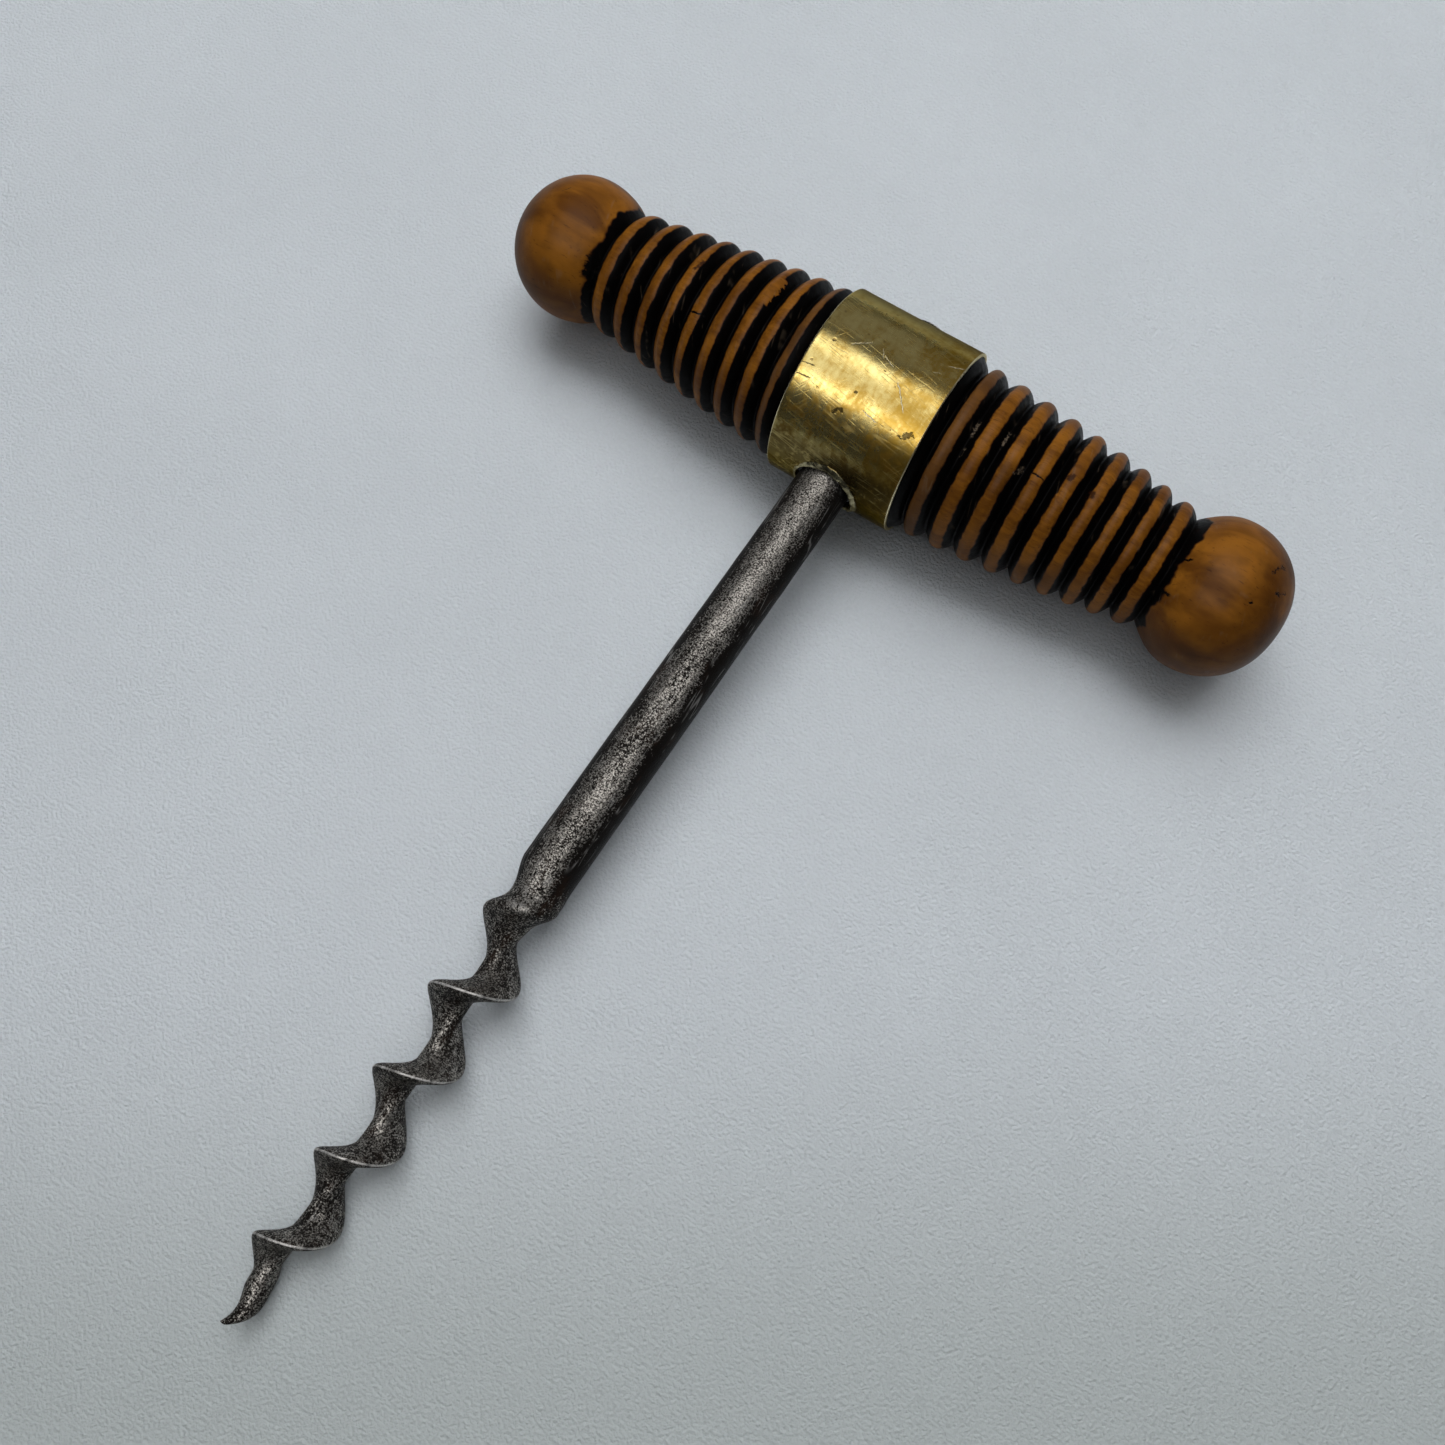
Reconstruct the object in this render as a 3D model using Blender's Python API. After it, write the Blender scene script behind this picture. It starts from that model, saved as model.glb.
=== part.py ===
"""T-handled corkscrew: turned wooden handle, brass sleeve and forged steel screw.

The corkscrew lies on a table: the handle runs along X, the screw points along -Y and slopes
down until its worm rests on the table. The origin is under the middle of the whole, at the
height of the table. Lengths are in metres and angles in radians.
"""

import math

import bmesh
import bpy
from mathutils import Euler, Matrix, Vector

# Handle: one turning, symmetrical about its middle.
HANDLE_SEGMENTS = 36
RIDGE_COUNT = 9              # ridges on each side of the sleeve
FIRST_RIDGE = 0.00947        # middle of the handle to the first crest
RIDGE_PITCH = 0.00297
GROOVE_DEPTH = 0.00125
GROOVE_SHARPNESS = 2.4       # above 2 the crests are broad and the grooves narrow
CREST_INNER = 0.00985        # crest radius beside the sleeve
CREST_OUTER = 0.00708        # crest radius beside the ball
CREST_SWELL = 0.00028        # how far the row of crests swells between the two
STEPS_PER_RIDGE = 4
BALL_CENTRE = 0.0400
BALL_RADIUS = 0.0083
BALL_HALF_LENGTH = 0.0077
BALL_STEPS = 9
BALL_END = math.radians(173.0)  # the ball closes with a small flat
SEAT_RADIUS = 0.01002        # plain cylinder under the sleeve
SEAT_HALF_LENGTH = 0.0068

# Sleeve: a short brass tube on the seat.
SLEEVE_SEGMENTS = 48
SLEEVE_CENTRE = -0.0009
SLEEVE_LENGTH = 0.0151
SLEEVE_RADIUS = 0.01072
SLEEVE_WALL = 0.0004
SLEEVE_HOLE_RADIUS = 0.00356
SLEEVE_HOLE_SHIFT = 0.0002   # the hole is punched a little to the right of the shank
LIP_WIDTH = 0.00045
LIP_HEIGHT = 0.00045         # how far the punched rim stands out of the tube

# Screw: tang, shank and worm forged from one rod. Stations are measured along the screw's
# axis from the handle's axis, positive towards the point.
SCREW_SEGMENTS = 28
SCREW_OFFSET = -0.00077      # where the screw's axis crosses the handle's axis
LEAN = math.radians(1.98)    # out of square with the handle
DROOP = math.radians(4.05)   # slope that brings the worm down to the table
TANG_RADIUS = 0.0019
HEAD_RADIUS = 0.0024
HEAD_RISE = 0.0004
HEAD_GAP = 0.0002
HEAD_EDGE = 0.00005
SHOULDER = 0.0065            # the shank ends here, inside the handle
SHANK_RADIUS_TOP = 0.00306
SHANK_RADIUS_END = 0.00320
SHANK_END = 0.0613
WORM_PITCH = 0.00972
WORM_CREST_FRONT = 0.07547   # a station where the worm's crest faces straight up
WORM_CREST = 0.00425         # crest radius at the end of its run-in
WORM_TAPER = 0.023           # crest radius lost per unit of length
WORM_BACK = 0.00075          # radius opposite the crest
WORM_FLANK = math.radians(63.0)
WORM_FLANK_POWER = 1.48
GROOVE_RUN_IN = 0.0089       # length in which the groove reaches its depth
CREST_START = 0.0624         # the crest begins to stand out of the shank here
CREST_RUN_IN = 0.0125
CREST_RISE_POWER = 0.4       # below 1 the crest rises quickly and then levels off
WORM_BOW = 0.00063           # the worm is bent a little to the right
WORM_BOW_LENGTH = 0.0439
TAIL_START = 0.1074          # the crest is ground away from here to TAIL_PLAIN
TAIL_PLAIN = 0.1099
TAIL_RADIUS = 0.00121
TAIL_OFFSET = 0.00044        # middle of the tail from the axis, towards the crest
POINT = 0.1151
POINT_RADIUS = 0.00022
POINT_OFFSET = 0.00155       # the point curls further off the axis
RINGS_PER_TURN = 16
TAIL_RINGS = 12

CLEARANCE = 0.0003           # between pieces that touch on the real object


def clear_scene():
    """Remove every object that is in the file."""
    for item in list(bpy.data.objects):
        bpy.data.objects.remove(item, do_unlink=True)


def make_material(name, colour, roughness, metallic):
    """Return a plain Principled material."""
    material = bpy.data.materials.new(name)
    material.use_nodes = True
    shader = material.node_tree.nodes["Principled BSDF"]
    shader.inputs["Base Color"].default_value = (*colour, 1.0)
    shader.inputs["Roughness"].default_value = roughness
    shader.inputs["Metallic"].default_value = metallic
    return material


def add_object(name, bm, material=None):
    """Turn a bmesh into an object of the scene."""
    bmesh.ops.recalc_face_normals(bm, faces=bm.faces)
    mesh = bpy.data.meshes.new(name)
    bm.to_mesh(mesh)
    bm.free()
    mesh.shade_smooth()
    mesh.set_sharp_from_angle(angle=math.radians(40.0))
    item = bpy.data.objects.new(name, mesh)
    bpy.context.scene.collection.objects.link(item)
    if material:
        item.data.materials.append(material)
    return item


def skin_rings(bm, rings):
    """Join rings of points, first to last, and close both ends."""
    rows = [[bm.verts.new(point) for point in ring] for ring in rings]
    for near, far in zip(rows, rows[1:]):
        for i in range(len(near)):
            j = (i + 1) % len(near)
            bm.faces.new((near[i], near[j], far[j], far[i]))
    bm.faces.new(rows[0])
    bm.faces.new(rows[-1])


def ring_about_x(x, radius, segments):
    """Points of a circle about the X axis, with a flat side at the bottom."""
    step = math.tau / segments
    return [
        Vector((x, radius * math.sin((i + 0.5) * step), radius * math.cos((i + 0.5) * step)))
        for i in range(segments)
    ]


def cut_with(target, cutter):
    """Subtract a closed cutter from a target."""
    cutter.hide_render = True
    cutter.display_type = "WIRE"
    cut = target.modifiers.new("cut_" + cutter.name, "BOOLEAN")
    cut.operation = "DIFFERENCE"
    cut.solver = "EXACT"
    cut.object = cutter


def screw_matrix():
    """Place of the screw's own frame: its axis runs along local -Y from the handle's axis."""
    return Matrix.Translation((SCREW_OFFSET, 0.0, 0.0)) @ Euler((DROOP, 0.0, -LEAN)).to_matrix().to_4x4()


def add_rod(name, radius, start, end, shift=0.0, segments=32):
    """A closed rod on the screw's axis between two stations."""
    bm = bmesh.new()
    step = math.tau / segments
    rings = [
        [Vector((shift + radius * math.sin(i * step), -station, radius * math.cos(i * step)))
         for i in range(segments)]
        for station in (start, end)
    ]
    skin_rings(bm, rings)
    rod = add_object(name, bm)
    rod.matrix_world = screw_matrix()
    return rod


# ---------------------------------------------------------------- handle

def crest_radius(index):
    """Radius of a ridge's crest, counted outwards from the sleeve."""
    part = index / (RIDGE_COUNT - 1)
    straight = CREST_INNER + (CREST_OUTER - CREST_INNER) * part
    return straight + CREST_SWELL * 4.0 * part * (1.0 - part)


def half_profile():
    """Outline of one half of the handle as (distance, radius), from its middle to its end."""
    points = [(0.0, SEAT_RADIUS), (SEAT_HALF_LENGTH, SEAT_RADIUS)]
    for index in range(RIDGE_COUNT):
        centre = FIRST_RIDGE + RIDGE_PITCH * index
        for step in range(STEPS_PER_RIDGE):
            part = step / STEPS_PER_RIDGE - 0.5
            drop = GROOVE_DEPTH * abs(2.0 * part) ** GROOVE_SHARPNESS
            points.append((centre + part * RIDGE_PITCH, crest_radius(index) - drop))
    neck = FIRST_RIDGE + RIDGE_PITCH * (RIDGE_COUNT - 0.5)
    start = math.acos((BALL_CENTRE - neck) / BALL_HALF_LENGTH)
    for step in range(BALL_STEPS + 1):
        angle = start + (BALL_END - start) * step / BALL_STEPS
        points.append((BALL_CENTRE - BALL_HALF_LENGTH * math.cos(angle), BALL_RADIUS * math.sin(angle)))
    return points


def build_handle():
    """The turned handle with its stepped hole for the tang."""
    half = half_profile()
    outline = [(-x, r) for x, r in reversed(half)] + half[1:]
    bm = bmesh.new()
    skin_rings(bm, [ring_about_x(x, r, HANDLE_SEGMENTS) for x, r in outline])
    handle = add_object("handle", bm, make_material("boxwood", (0.45, 0.17, 0.05), 0.45, 0.0))
    cut_with(handle, add_rod("tang_hole", TANG_RADIUS + CLEARANCE, -0.02, 0.02))
    cut_with(handle, add_rod("shank_hole", SHANK_RADIUS_TOP + CLEARANCE, SHOULDER - CLEARANCE, 0.02))
    return handle


# ---------------------------------------------------------------- sleeve

def add_tube(name, outer, inner, length, centre):
    """A tube about the X axis."""
    bm = bmesh.new()
    low, high = centre - length / 2.0, centre + length / 2.0
    loop = [(low, outer), (high, outer), (high, inner), (low, inner)]
    rows = [[bm.verts.new(p) for p in ring_about_x(x, r, SLEEVE_SEGMENTS)] for x, r in loop]
    for k, near in enumerate(rows):
        far = rows[(k + 1) % len(rows)]
        for i in range(SLEEVE_SEGMENTS):
            j = (i + 1) % SLEEVE_SEGMENTS
            bm.faces.new((near[i], near[j], far[j], far[i]))
    return add_object(name, bm)


def build_sleeve():
    """The brass sleeve with the punched rim round the shank and the hole for the head."""
    inner = SLEEVE_RADIUS - SLEEVE_WALL
    sleeve = add_tube("sleeve", SLEEVE_RADIUS, inner, SLEEVE_LENGTH, SLEEVE_CENTRE)
    sleeve.data.materials.append(make_material("brass", (0.42, 0.31, 0.10), 0.35, 1.0))
    rim_radius = SLEEVE_HOLE_RADIUS + LIP_WIDTH
    foot = SLEEVE_RADIUS - SLEEVE_WALL / 2.0 - rim_radius ** 2 / (2.0 * SLEEVE_RADIUS)
    rim = add_rod("punched_rim", rim_radius, foot, SLEEVE_RADIUS + LIP_HEIGHT, SLEEVE_HOLE_SHIFT)
    rim.hide_render = True
    rim.display_type = "WIRE"
    join = sleeve.modifiers.new("join_rim", "BOOLEAN")
    join.operation = "UNION"
    join.solver = "EXACT"
    join.object = rim
    cut_with(sleeve, add_bore_plug(inner))
    cut_with(sleeve, add_rod("shank_opening", SLEEVE_HOLE_RADIUS, 0.004, 0.02, SLEEVE_HOLE_SHIFT))
    cut_with(sleeve, add_rod("tang_opening", TANG_RADIUS + CLEARANCE, -0.02, -0.004))
    return sleeve


def add_bore_plug(radius):
    """The sleeve's bore as a solid, which trims the rim's foot flush with the bore."""
    bm = bmesh.new()
    reach = SLEEVE_LENGTH
    rings = [ring_about_x(SLEEVE_CENTRE + side * reach, radius, SLEEVE_SEGMENTS) for side in (-1, 1)]
    skin_rings(bm, rings)
    return add_object("bore_plug", bm)


# ---------------------------------------------------------------- screw

def smooth_step(value):
    """0 below 0, 1 above 1 and a smooth rise between."""
    value = min(max(value, 0.0), 1.0)
    return value * value * (3.0 - 2.0 * value)


def crest_angle(station):
    """Direction of the worm's crest about the axis, from straight up towards +X."""
    return -math.tau * (station - WORM_CREST_FRONT) / WORM_PITCH


def shank_radius(station):
    """Radius of the round shank."""
    part = (station - SHOULDER) / (SHANK_END - SHOULDER)
    return SHANK_RADIUS_TOP + (SHANK_RADIUS_END - SHANK_RADIUS_TOP) * min(part, 1.0)


def worm_bow(station):
    """Sideways offset of the bent worm's axis."""
    part = max((station - SHANK_END) / WORM_BOW_LENGTH, 0.0)
    return WORM_BOW * 4.0 * part * (1.0 - part)


def tail_wear(station):
    """0 where the crest is whole and 1 where it is ground away."""
    return smooth_step((station - TAIL_START) / (TAIL_PLAIN - TAIL_START))


def worm_radius(station, turn):
    """Radius of the worm's section, `turn` away from the crest."""
    round_shank = shank_radius(station)
    full = WORM_CREST - WORM_TAPER * (station - CREST_START - CREST_RUN_IN)
    rise = smooth_step((station - CREST_START) / CREST_RUN_IN) ** CREST_RISE_POWER
    crest = round_shank + (full - round_shank) * rise
    depth = smooth_step((station - SHANK_END) / GROOVE_RUN_IN)
    back = round_shank + (WORM_BACK - round_shank) * depth
    worn = tail_wear(station)
    crest += (TAIL_RADIUS - crest) * worn
    back += (TAIL_RADIUS - back) * worn
    flank = math.exp(-((abs(turn) / WORM_FLANK) ** WORM_FLANK_POWER))
    return back + (crest - back) * flank


def worm_ring(station):
    """Points round the worm at a station."""
    angle = crest_angle(station)
    tail = max((station - TAIL_PLAIN) / (POINT - TAIL_PLAIN), 0.0)
    thin = 1.0 - (1.0 - POINT_RADIUS / TAIL_RADIUS) * tail ** 1.5
    curl = TAIL_OFFSET * tail_wear(station) + (POINT_OFFSET - TAIL_OFFSET) * tail
    middle = Vector((worm_bow(station) + curl * math.sin(angle), -station, curl * math.cos(angle)))
    points = []
    for i in range(SCREW_SEGMENTS):
        turn = math.tau * i / SCREW_SEGMENTS - math.pi
        radius = worm_radius(station, turn) * thin
        way = Vector((math.sin(angle + turn), 0.0, math.cos(angle + turn)))
        points.append(middle + radius * way)
    return points


def round_ring(station, radius):
    """Points of a plain circle on the axis, in step with the worm's first ring."""
    start = crest_angle(SHANK_END)
    points = []
    for i in range(SCREW_SEGMENTS):
        turn = start + math.tau * i / SCREW_SEGMENTS - math.pi
        points.append(Vector((radius * math.sin(turn), -station, radius * math.cos(turn))))
    return points


def build_screw():
    """Tang with its peened head, shank and worm, in one piece."""
    seat = -(SLEEVE_RADIUS + HEAD_GAP)
    edge = seat - HEAD_EDGE
    rings = [
        round_ring(edge - HEAD_RISE, HEAD_RADIUS * 0.25),
        round_ring(edge - HEAD_RISE * 0.75, HEAD_RADIUS * 0.65),
        round_ring(edge, HEAD_RADIUS),
        round_ring(seat, HEAD_RADIUS),
        round_ring(seat, TANG_RADIUS),
        round_ring(SHOULDER, TANG_RADIUS),
        round_ring(SHOULDER, SHANK_RADIUS_TOP),
    ]
    worm_rings = math.ceil((TAIL_START - SHANK_END) / WORM_PITCH * RINGS_PER_TURN)
    step = (TAIL_START - SHANK_END) / worm_rings
    rings += [worm_ring(SHANK_END + step * i) for i in range(worm_rings)]
    step = (POINT - TAIL_START) / TAIL_RINGS
    rings += [worm_ring(TAIL_START + step * i) for i in range(TAIL_RINGS + 1)]
    bm = bmesh.new()
    skin_rings(bm, rings)
    screw = add_object("screw", bm, make_material("steel", (0.16, 0.15, 0.14), 0.42, 1.0))
    screw.matrix_world = screw_matrix()
    return screw


# ---------------------------------------------------------------- whole object

def stand_on_origin(pieces):
    """Move the whole so that its box is centred over the origin with its base at height 0."""
    bpy.context.view_layer.update()
    graph = bpy.context.evaluated_depsgraph_get()
    corners = []
    for piece in pieces:
        mesh = piece.evaluated_get(graph).to_mesh()
        corners += [piece.matrix_world @ vertex.co for vertex in mesh.vertices]
    low = Vector([min(corner[i] for corner in corners) for i in range(3)])
    high = Vector([max(corner[i] for corner in corners) for i in range(3)])
    middle = (low + high) / 2.0
    shift = Matrix.Translation((-middle.x, -middle.y, -low.z))
    for item in bpy.context.scene.objects:
        item.matrix_world = shift @ item.matrix_world
    bpy.context.view_layer.update()


def main():
    """Build the corkscrew."""
    clear_scene()
    pieces = [build_handle(), build_sleeve(), build_screw()]
    stand_on_origin(pieces)


main()
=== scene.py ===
"""Looks of the T-handled corkscrew: turned wooden handle, brass sleeve and forged steel screw.

The handle's axis runs along X and the screw points along -Y, as in the frame. Lengths are in
metres and angles in radians unless a name says otherwise.
"""

import logging
import math
from collections.abc import Callable
from dataclasses import dataclass, field
from enum import Enum

import bmesh
import bpy
from mathutils import Euler, Matrix, Vector, noise


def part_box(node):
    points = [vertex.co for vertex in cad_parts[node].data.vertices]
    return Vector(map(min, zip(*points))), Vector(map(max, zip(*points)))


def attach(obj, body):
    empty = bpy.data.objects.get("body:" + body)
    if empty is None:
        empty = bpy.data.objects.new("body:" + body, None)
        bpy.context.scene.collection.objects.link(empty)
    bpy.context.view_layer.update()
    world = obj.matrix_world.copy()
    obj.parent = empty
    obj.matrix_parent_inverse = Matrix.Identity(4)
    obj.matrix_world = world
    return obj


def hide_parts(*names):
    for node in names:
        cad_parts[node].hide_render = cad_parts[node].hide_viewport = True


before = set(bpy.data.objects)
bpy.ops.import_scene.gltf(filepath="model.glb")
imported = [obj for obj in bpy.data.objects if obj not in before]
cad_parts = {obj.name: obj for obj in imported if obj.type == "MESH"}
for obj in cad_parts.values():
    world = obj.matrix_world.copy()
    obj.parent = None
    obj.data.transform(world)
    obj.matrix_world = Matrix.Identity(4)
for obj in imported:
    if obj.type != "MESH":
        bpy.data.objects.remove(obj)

LOG = logging.getLogger("corkscrew")
MM = 0.001
BODY = "root"
SHARP_ANGLE = math.radians(50.0)

Inputs = dict[str | int, object]
Triple = tuple[float, float, float]
Display = tuple[int, int, int]


class Slot(Enum):
    """The record's material slots."""

    WOOD = "turned_wood"
    BRASS = "sleeve_brass"
    STEEL = "forged_steel"


def paint(display: Display) -> tuple[float, float, float, float]:
    """Turn a display colour of 0 to 255 into the linear colour that a socket takes.

    Args:
        display: Red, green and blue of the display colour.

    Returns:
        Linear red, green and blue, and an alpha of 1.
    """
    linear = []
    for channel in display:
        part = channel / 255.0
        linear.append(part / 12.92 if part <= 0.04045 else ((part + 0.055) / 1.055) ** 2.4)
    return (*linear, 1.0)


def smooth_step(value: float) -> float:
    """Return 0 below 0, 1 above 1 and a smooth rise between."""
    value = min(max(value, 0.0), 1.0)
    return value * value * (3.0 - 2.0 * value)


# ------------------------------------------------------------------ node trees


class Value:
    """A node's output. Arithmetic on it adds Math nodes."""

    def __init__(self, graph: "Graph", socket: bpy.types.NodeSocket) -> None:
        """Wrap an output socket of a graph."""
        self.graph = graph
        self.socket = socket

    def __add__(self, other: object) -> "Value":
        """Return the sum."""
        return self.graph.math("ADD", self, other)

    def __sub__(self, other: object) -> "Value":
        """Return this less another value."""
        return self.graph.math("SUBTRACT", self, other)

    def __rsub__(self, other: object) -> "Value":
        """Return another value less this."""
        return self.graph.math("SUBTRACT", other, self)

    def __mul__(self, other: object) -> "Value":
        """Return the product."""
        return self.graph.math("MULTIPLY", self, other)

    def __truediv__(self, other: object) -> "Value":
        """Return this divided by another value."""
        return self.graph.math("DIVIDE", self, other)

    def __rtruediv__(self, other: object) -> "Value":
        """Return another value divided by this."""
        return self.graph.math("DIVIDE", other, self)

    def __pow__(self, other: object) -> "Value":
        """Return this to a power."""
        return self.graph.math("POWER", self, other)

    def __abs__(self) -> "Value":
        """Return the size without the sign."""
        return self.graph.math("ABSOLUTE", self)

    __radd__ = __add__
    __rmul__ = __mul__


class Graph:
    """Adds and links nodes in one shader or geometry tree."""

    def __init__(self, tree: bpy.types.NodeTree) -> None:
        """Start on a tree."""
        self.tree = tree

    def feed(self, socket: bpy.types.NodeSocket, value: object) -> None:
        """Link a node's output to an input socket, or set the socket's own value."""
        if isinstance(value, Value):
            self.tree.links.new(value.socket, socket)
        else:
            socket.default_value = value

    def add(self, kind: str, inputs: Inputs | None = None, **settings: object) -> bpy.types.Node:
        """Add a node.

        Args:
            kind: Blender's name of the node type.
            inputs: Values for its input sockets, by socket name or number.
            settings: The node's own properties.

        Returns:
            The new node.
        """
        node = self.tree.nodes.new(kind)
        for name, setting in settings.items():
            setattr(node, name, setting)
        for name, value in (inputs or {}).items():
            self.feed(node.inputs[name], value)
        return node

    def out(self, kind: str, inputs: Inputs | None = None, output: str | int = 0,
            **settings: object) -> Value:
        """Add a node as `add` does and return one of its outputs."""
        return Value(self, self.add(kind, inputs, **settings).outputs[output])

    def given(self) -> dict[str, Value]:
        """Return the tree's own inputs by name."""
        sockets = self.add("NodeGroupInput").outputs
        return {socket.name: Value(self, socket) for socket in sockets if socket.name}

    def math(self, operation: str, *values: object) -> Value:
        """Return the result of a Math node."""
        return self.out("ShaderNodeMath", dict(enumerate(values)), operation=operation)

    def clamp(self, value: object, low: object, high: object) -> Value:
        """Return a value held between two others."""
        return self.math("MINIMUM", self.math("MAXIMUM", value, low), high)

    def strongest(self, *values: object) -> Value:
        """Return the largest of several values."""
        best, *others = values
        for value in others:
            best = self.math("MAXIMUM", best, value)
        return best

    def span(self, value: object, low: object, high: object, to_low: float = 0.0,
             to_high: float = 1.0) -> Value:
        """Return a value moved smoothly from one span to another and held at its ends."""
        return self.out("ShaderNodeMapRange", {
            "Value": value, "From Min": low, "From Max": high, "To Min": to_low, "To Max": to_high,
        }, "Result", interpolation_type="SMOOTHSTEP")

    def vector(self, x: object, y: object, z: object = 0.0) -> Value:
        """Return a vector put together from three values."""
        return self.out("ShaderNodeCombineXYZ", {"X": x, "Y": y, "Z": z})

    def parts(self, vector: Value) -> list[Value]:
        """Return a vector's three parts."""
        outputs = self.add("ShaderNodeSeparateXYZ", {0: vector}).outputs
        return [Value(self, part) for part in outputs]

    def stretch(self, vector: Value, x: float, y: float, z: float = 1.0) -> Value:
        """Return a vector scaled by its own number on each axis."""
        return self.out("ShaderNodeVectorMath", {0: vector, 1: (x, y, z)}, operation="MULTIPLY")

    def noise(self, vector: Value, size: float, detail: float = 3.0, rough: float = 0.55,
              warp: float = 0.0) -> Value:
        """Return noise from 0 to 1.

        Args:
            vector: Place on the piece.
            size: Length of a feature.
            detail: Octaves of finer noise.
            rough: How strong the finer octaves are.
            warp: How far the pattern is warped by itself.

        Returns:
            The noise value.
        """
        return self.out("ShaderNodeTexNoise", {
            "Vector": vector, "Scale": 1.0 / size, "Detail": detail, "Roughness": rough,
            "Distortion": warp})

    def blend(self, factor: object, first: object, second: object) -> Value:
        """Return two colours mixed."""
        return self.out("ShaderNodeMix", {0: factor, 6: first, 7: second}, 2, data_type="RGBA")

    def between(self, factor: object, first: object, second: object) -> Value:
        """Return a value between two others."""
        return self.out("ShaderNodeMix", {0: factor, 2: first, 3: second}, 0, data_type="FLOAT")

    def choose(self, condition: Value, if_true: object, if_false: object) -> Value:
        """Return one of two numbers in a geometry tree."""
        return self.out("GeometryNodeSwitch", {
            "Switch": condition, "True": if_true, "False": if_false}, input_type="FLOAT")

    def attribute(self, name: str, output: str) -> Value:
        """Return one of a mesh's attributes in a material."""
        return self.out("ShaderNodeAttribute", None, output, attribute_name=name)

    def object_place(self) -> Value:
        """Return the place on the piece in a material."""
        return self.out("ShaderNodeTexCoord", None, "Object")

    def bumped(self, height: Value, distance: float) -> Value:
        """Return a normal bumped by a height."""
        return self.out("ShaderNodeBump", {"Height": height, "Distance": distance, "Strength": 1.0})


@dataclass(frozen=True)
class Stroke:
    """A straight scratch, crack or brush mark on a round surface.

    Attributes:
        along_mm: Middle of the mark along the axis.
        around_deg: Middle of the mark round the axis, from straight up.
        turn_deg: Direction of the mark, 0 along the axis.
        length_mm: Its whole length.
        width_mm: Its whole width.
        wobble_mm: How far its line wanders.
    """

    along_mm: float
    around_deg: float
    turn_deg: float
    length_mm: float
    width_mm: float
    wobble_mm: float = 0.1


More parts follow.
